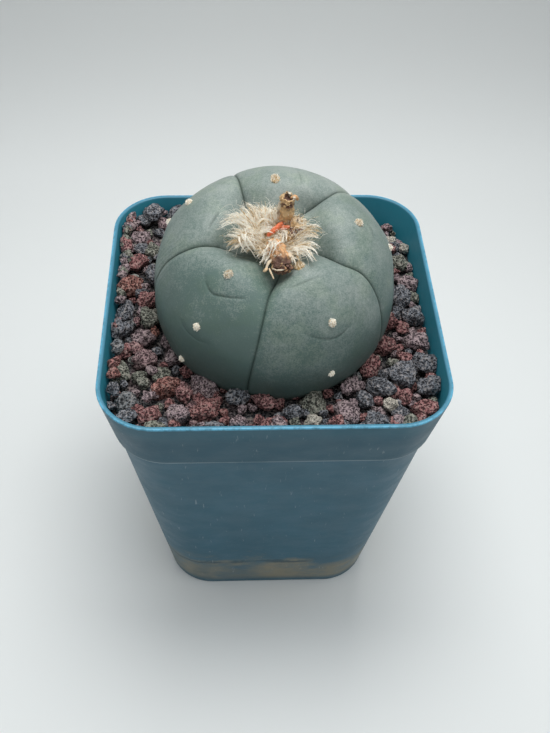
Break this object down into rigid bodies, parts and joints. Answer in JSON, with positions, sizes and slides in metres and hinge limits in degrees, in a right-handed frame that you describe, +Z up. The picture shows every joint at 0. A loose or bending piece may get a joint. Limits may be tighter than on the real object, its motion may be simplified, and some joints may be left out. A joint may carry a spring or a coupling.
{
  "type": "potted button cactus",
  "caption": "Low five-ribbed spineless button cactus with a woolly crown, in a square tapered nursery pot top-dressed with crushed lava; stands on its foot.",
  "frame": {"origin": "middle of the pot's foot, on the surface that it stands on", "axes": "+Z up out of the pot, -Y towards the viewer of the picture, +X to the viewer's right; the pot's four sides face +X, +Y, -X and -Y"},
  "size_m": [0.089, 0.089, 0.1339],
  "materials": {
    "pot_plastic": "injection-moulded, satin, with a faint mineral stain near the foot",
    "potting_mix": "loose mineral potting mix, matt",
    "dark_lava": "crushed porous lava, charcoal to olive grey, matt",
    "red_lava": "crushed porous lava, red-brown to mauve, matt",
    "pumice": "pale crushed pumice, matt",
    "cactus_skin": "living skin, grey-green with a waxy bluish bloom, satin to matt",
    "wool": "cream wool of fine plant hairs, tan in places",
    "dried_fruit": "papery dried fruit, tan and brown",
    "ripe_fruit": "fleshy fruit, red-orange, satin",
    "spent_flower": "withered petals, brown and crumbly"
  },
  "bodies": {
    "root": {"pot": "pot_plastic", "potting_mix": "potting_mix", "dark_lava": "dark_lava", "red_lava": "red_lava", "pumice_1": "pumice", "pumice_2": "pumice", "pumice_3": "pumice", "pumice_4": "pumice", "cactus_body": "cactus_skin", "crown_wool": "wool", "dried_fruit": "dried_fruit", "ripe_fruit": "ripe_fruit", "spent_flower_front": "spent_flower", "spent_flower_back": "spent_flower"}
  },
  "joints": []
}
